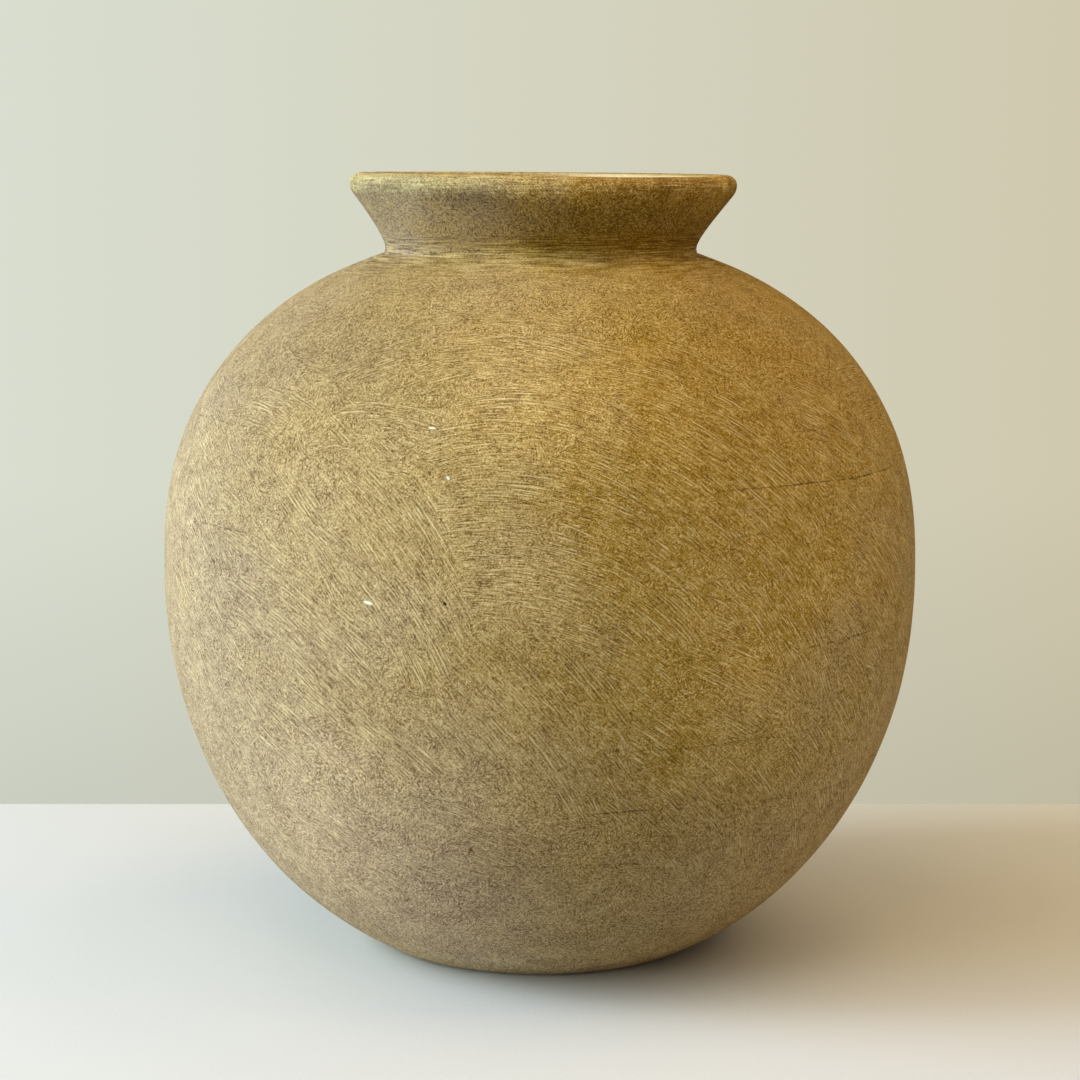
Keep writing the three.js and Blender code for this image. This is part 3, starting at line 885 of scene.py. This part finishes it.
def slipMaterial(name, look, lip=None):
    material = bpy.data.materials.new(name)
    material.use_nodes = True
    tree = material.node_tree
    tree.nodes.clear()
    add = partial(addNode, tree)
    inMm = add(vector, scale, {0: add("ShaderNodeTexCoord", output="Object"), "Scale": 1 / mm})
    axes = add(split, None, {0: inMm}, None)
    strokes, hairs = sweptStrokes(add, dabStrokes(add, inMm, look), look)
    if lip or look is slipLook:
        level = levelStrokes(add, inMm)
        smoothed = smoothedBands(add, axes["Z"], lip is not None)
        strokes = add(mix, numbers, {"Factor": smoothed, "A": strokes, "B": level}, "Result")
    shades = {shade: colour(look[shade]) for shade in ("cool", "body", "warm", "pale", "dark", "hair")}
    if lip:
        shades = lipShades(add, inMm, axes["Z"], level, shades, lip)
    sized = {"grain": (look["grain"], 2.0, 0.75), "patch": (look["patchSize"], 4.0, 0.62),
             "mottle": (look["mottle"], 3.0, 0.6), "cluster": (look["cluster"], 2.0, 0.6)}
    seen = {}
    for key, (grain, octaves, harsh) in sized.items():
        speckle = {"Vector": inMm, "Scale": 1 / grain, "Detail": octaves, "Roughness": harsh}
        speckle["Distortion"] = look["grainCurl"] if key == "grain" else 0.0
        seen[key] = add(noise, None, speckle)
    # cool to warm, from the left to the right, which is partly painted light, and cooler again low on the
    # right
    fired = add(split, None, {0: add(stored, {"attribute_name": "fired"}, None, "Vector")}, None)
    low, high = look["hueFrom"], look["hueTo"]
    drift = {"Value": axes["X"], "From Min": low, "From Max": high, "To Min": low, "To Max": high}
    drift = add(maths, plus, {0: add(spread, None, drift), 1: fired["Y"]})
    low, high, most = look["under"]
    under = add(maths, timesPlus, {0: axes["Z"], 1: look["underLean"], 2: axes["X"]})
    under = add(spread, None, {"Value": under, "From Min": low, "From Max": high, "To Max": most})
    drift = add(maths, plus, {0: drift, 1: under})
    patch = add(maths, minus, {0: seen["patch"], 1: 0.5})
    drift = add(maths, timesPlus, {0: patch, 1: look["patchSwing"], 2: drift})
    tone = shades["cool"]
    for reach, shade in (("coolBody", "body"), ("bodyWarm", "warm")):
        low, high = look[reach]
        share = add(spread, None, {"Value": drift, "From Min": low, "From Max": high})
        tone = add(mix, colours, {"Factor": share, "A": tone, "B": shades[shade]}, "Result")
    low, high = look["clustered"]
    clustered = add(spread, None, {"Value": seen["cluster"], "From Min": low, "From Max": high})
    low, high = look["hairEdge"]
    thin = add(spread, None, {"Value": hairs, "From Min": low, "From Max": high})
    thin = add(maths, times, {0: thin, 1: clustered})
    # the comb's troughs beside each hair are painted darker: painted shade beside the ridges
    gap = add(spread, None, {"Value": hairs, "From Min": -low, "From Max": -high})
    gap = add(maths, times, {0: gap, 1: clustered})
    rough = add(mix, numbers, {"Factor": look["grainShare"], "A": strokes, "B": seen["grain"]}, "Result")
    mottled = add(maths, minus, {0: seen["mottle"], 1: 0.5})
    rough = add(maths, timesPlus, {0: mottled, 1: look["mottleShare"], 2: rough})
    low, high, most = look["lit"]
    light = add(spread, None, {"Value": rough, "From Min": low, "From Max": high, "To Max": most})
    low, high, most = look["shaded"]
    dark = add(spread, None, {"Value": rough, "From Min": low, "From Max": high, "To Max": most})
    gap = add(maths, times, {0: gap, 1: look["gapShade"]})
    dark = add(maths, larger, {0: dark, 1: gap})
    hair = add(maths, times, {0: thin, 1: look["hairShade"]})
    paints = [(light, shades["pale"]), (dark, shades["dark"]), (hair, shades["hair"])]
    # a painted highlight inside the far lip on the right
    if lip:
        paints.append((innerLipHighlight(add, inMm), colour(look["bare"])))
    line = add(split, None, {0: add(stored, {"attribute_name": "hairline"}, None, "Vector")}, None)
    paints.append((hairlineShare(add, inMm, line), colour(look["joint"])))
    for share, shade in paints:
        tone = add(mix, colours, {"Factor": share, "A": tone, "B": shade}, "Result")
    # the stored lightness, with the painted light round the foot and the painted shade in the neck's
    # crease
    tone = add(vector, scale, {0: tone, "Scale": fired["X"]})
    # chips and pits, with a ragged edge
    mark = add(split, None, {0: add(stored, {"attribute_name": "mark"}, None, "Vector")}, None)
    squares = [add(maths, {"operation": "POWER"}, {0: mark[axis], 1: 2.0}) for axis in "XY"]
    away = add(maths, plus, {0: squares[0], 1: squares[1]})
    edge = add(maths, timesPlus, {0: seen["grain"], 1: look["chipRag"], 2: away})
    far, close = look["chipEdge"]
    inside = add(spread, None, {"Value": edge, "From Min": far, "From Max": close})
    for kind, shade in ((1.0, "chip"), (-1.0, "pit")):
        share = {"Value": mark["Z"], "From Min": look["chipFrom"] * kind, "From Max": kind}
        share = add(spread, None, share)
        share = add(maths, times, {0: inside, 1: share})
        tone = add(mix, colours, {"Factor": share, "A": tone, "B": colour(look[shade])}, "Result")
    sunk = add(maths, times, {0: inside, 1: add(maths, size, {0: mark["Z"]})})
    height = add(maths, minus, {0: rough, 1: sunk})
    height = add(maths, timesPlus, {0: thin, 1: look["hairRelief"], 2: height})
    bump = {"Height": height, "Strength": 1.0, "Distance": look["relief"] * mm}
    bump = add("ShaderNodeBump", None, bump, "Normal")
    surface = {"Base Color": tone, "Roughness": look["roughness"], "Normal": bump}
    surface["Specular IOR Level"] = look["sheen"]
    surface = add("ShaderNodeBsdfPrincipled", None, surface)
    add("ShaderNodeOutputMaterial", None, {"Surface": surface}, None)
    return material


collarClay = slipMaterial("stippled slip, rubbed pale on the lip", collarLook, rimLook)
clayOf = {
    "foot_clay": slipMaterial("worn foot clay", footLook),
    "brushed_slip": slipMaterial("brushed slip on terracotta", slipLook),
    "collar_slip": collarClay,
    "rim_slip": collarClay,
}
clayPieces = [("foot_slab", slabSection(), "foot_clay")]
clayPieces += [(name, ringSection(i), "brushed_slip") for i, name in enumerate(ringNames)]
clayPieces += [("neck_collar", collarSection(), "collar_slip"), ("rim_coil", rimSection(), "rim_slip")]
for node, section, slot in clayPieces:
    finishClay(turnClay("clay_" + node, section, clayOf[slot]), node)
    print("turned and brushed", node)


# Plain-woven cotton, matt, so that it takes soft shadows and shows only a faint thread. In metres.
table = {
    "width": 2.8, "front": -2.6, "edge": 0.217, "thick": 0.03,
    # the cloth is painted bluer on the left and towards the front than on the right: painted cool light
    "left": "#e1e4ee", "right": "#eeefea", "near": "#eaeefb", "roughness": 0.9,
    "leftRight": (-0.25, 0.3), "farNear": (-0.03, -0.15),  # where one tone passes into the other
    "thread": 1.1 * mm,
    "weave": (0.3, 0.7, 0.965, 1.035),  # from and to in the noise, and the least and most lightness
}


def makeTable(look):
    mesh = bpy.data.meshes.new("table")
    x, y0, y1 = look["width"] / 2, look["front"], look["edge"]
    outline = [(-x, y0), (x, y0), (x, y1), (-x, y1)]
    corners = [(*corner, z) for z in (-look["thick"], 0) for corner in outline]
    faces = [(3, 2, 1, 0), (4, 5, 6, 7), (0, 1, 5, 4), (1, 2, 6, 5), (2, 3, 7, 6), (3, 0, 4, 7)]
    mesh.from_pydata(corners, [], faces)
    slab = bpy.data.objects.new("table", mesh)
    bpy.context.collection.objects.link(slab)
    material = bpy.data.materials.new("pale table cloth")
    material.use_nodes = True
    tree = material.node_tree
    add = partial(addNode, tree)
    place = add("ShaderNodeTexCoord", output="Object")
    axes = add(split, None, {0: place}, None)
    low, high = look["leftRight"]
    across = add(spread, None, {"Value": axes["X"], "From Min": low, "From Max": high})
    far, near = look["farNear"]
    towards = add(spread, None, {"Value": axes["Y"], "From Min": far, "From Max": near})
    tone = {"Factor": towards, "A": colour(look["right"]), "B": colour(look["near"])}
    tone = {"Factor": across, "A": colour(look["left"]), "B": add(mix, colours, tone, "Result")}
    tone = add(mix, colours, tone, "Result")
    weave = {"Vector": place, "Scale": 1 / look["thread"], "Detail": 3.0, "Roughness": 0.7}
    weave = add(noise, None, weave)
    low, high, darker, lighter = look["weave"]
    level = {"Value": weave, "From Min": low, "From Max": high, "To Min": darker, "To Max": lighter}
    level = add(spread, None, level)
    shader = tree.nodes["Principled BSDF"]
    shader.inputs["Roughness"].default_value = look["roughness"]
    tree.links.new(add(vector, scale, {0: tone, "Scale": level}), shader.inputs["Base Color"])
    mesh.materials.append(material)


makeTable(table)
print("table laid")

# The wall behind is a pale glow that the camera and reflections see. The room's light on the jar is
# set apart from it.
# The wall is painted cooler on the left and warmer on the right, a painted tint of the window's and the
# room's light, and darker down towards the table, as painted shade.
room = {"left": "#d9ded0", "right": "#cfc8ae", "leftRight": (-0.2, 0.2),
        "shade": 0.84, "shadeFrom": -0.24, "shadeTo": -0.12,  # darker down towards the table
        "light": "#fff6e4", "strength": 0.15}


def lightRoom(look):
    world = bpy.data.worlds.new("room")
    bpy.context.scene.world = world
    world.use_nodes = True
    tree = world.node_tree
    tree.nodes.clear()
    add = partial(addNode, tree)
    axes = add(split, None, {0: add("ShaderNodeTexCoord", output="Generated")}, None)
    low, high = look["leftRight"]
    across = add(spread, None, {"Value": axes["X"], "From Min": low, "From Max": high})
    wall = {"Factor": across, "A": colour(look["left"]), "B": colour(look["right"])}
    wall = add(mix, colours, wall, "Result")
    shaded = {"Value": axes["Z"], "From Min": look["shadeFrom"], "From Max": look["shadeTo"]}
    shaded = add(spread, None, dict(shaded, **{"To Min": look["shade"]}))
    seen = add("ShaderNodeBackground", None, {"Color": wall, "Strength": shaded})
    glow = {"Color": colour(look["light"]), "Strength": look["strength"]}
    glow = add("ShaderNodeBackground", None, glow)
    ray = add("ShaderNodeLightPath", output=None)
    direct = add(maths, larger, {0: ray["Is Camera Ray"], 1: ray["Is Glossy Ray"]})
    direct = add(maths, larger, {0: direct, 1: ray["Is Transmission Ray"]})
    both = add("ShaderNodeMixShader", None, {0: direct, 1: glow, 2: seen})
    add("ShaderNodeOutputWorld", None, {"Surface": both}, None)


lightRoom(room)

# Low window light from the left, and the room's warmer light from above and from the right.
# at: azimuth, elevation and distance from the jar, with azimuth 0 on the camera's side. Size in
# metres, power in watts.
lamps = [
    {"name": "window_near", "at": (-65, 15, 1.7), "size": 1.4, "power": 19, "tint": "#e6fbff"},
    {"name": "window_far", "at": (-95, 15, 1.7), "size": 1.4, "power": 9.5, "tint": "#e6fbff"},
    {"name": "window_pane", "at": (-80, 30, 1.7), "size": 0.7, "power": 13.5, "tint": "#e6fbff"},
    {"name": "room_above", "at": (-35, 65, 1.7), "size": 1.4, "power": 9.5, "tint": "#ffdfab"},
    {"name": "room_right", "at": (95, 58, 1.7), "size": 1.6, "power": 12, "tint": "#ffdfab"},
]
aim = Vector((0, 0, 0.14))  # near the jar's middle
for lamp in lamps:
    light = bpy.data.lights.new(lamp["name"], "AREA")
    light.shape, light.size, light.energy = "SQUARE", lamp["size"], lamp["power"]
    light.color = colour(lamp["tint"])[:3]
    holder = bpy.data.objects.new(lamp["name"], light)
    azimuth, elevation = math.radians(lamp["at"][0]), math.radians(lamp["at"][1])
    level = math.cos(elevation)
    outward = Vector((math.sin(azimuth) * level, -math.cos(azimuth) * level, math.sin(elevation)))
    holder.location = aim + outward * lamp["at"][2]
    holder.rotation_euler = (-outward).to_track_quat("-Z", "Y").to_euler()
    bpy.context.collection.objects.link(holder)
print("lamps hung")

bpy.context.scene.view_settings.view_transform = "Standard"
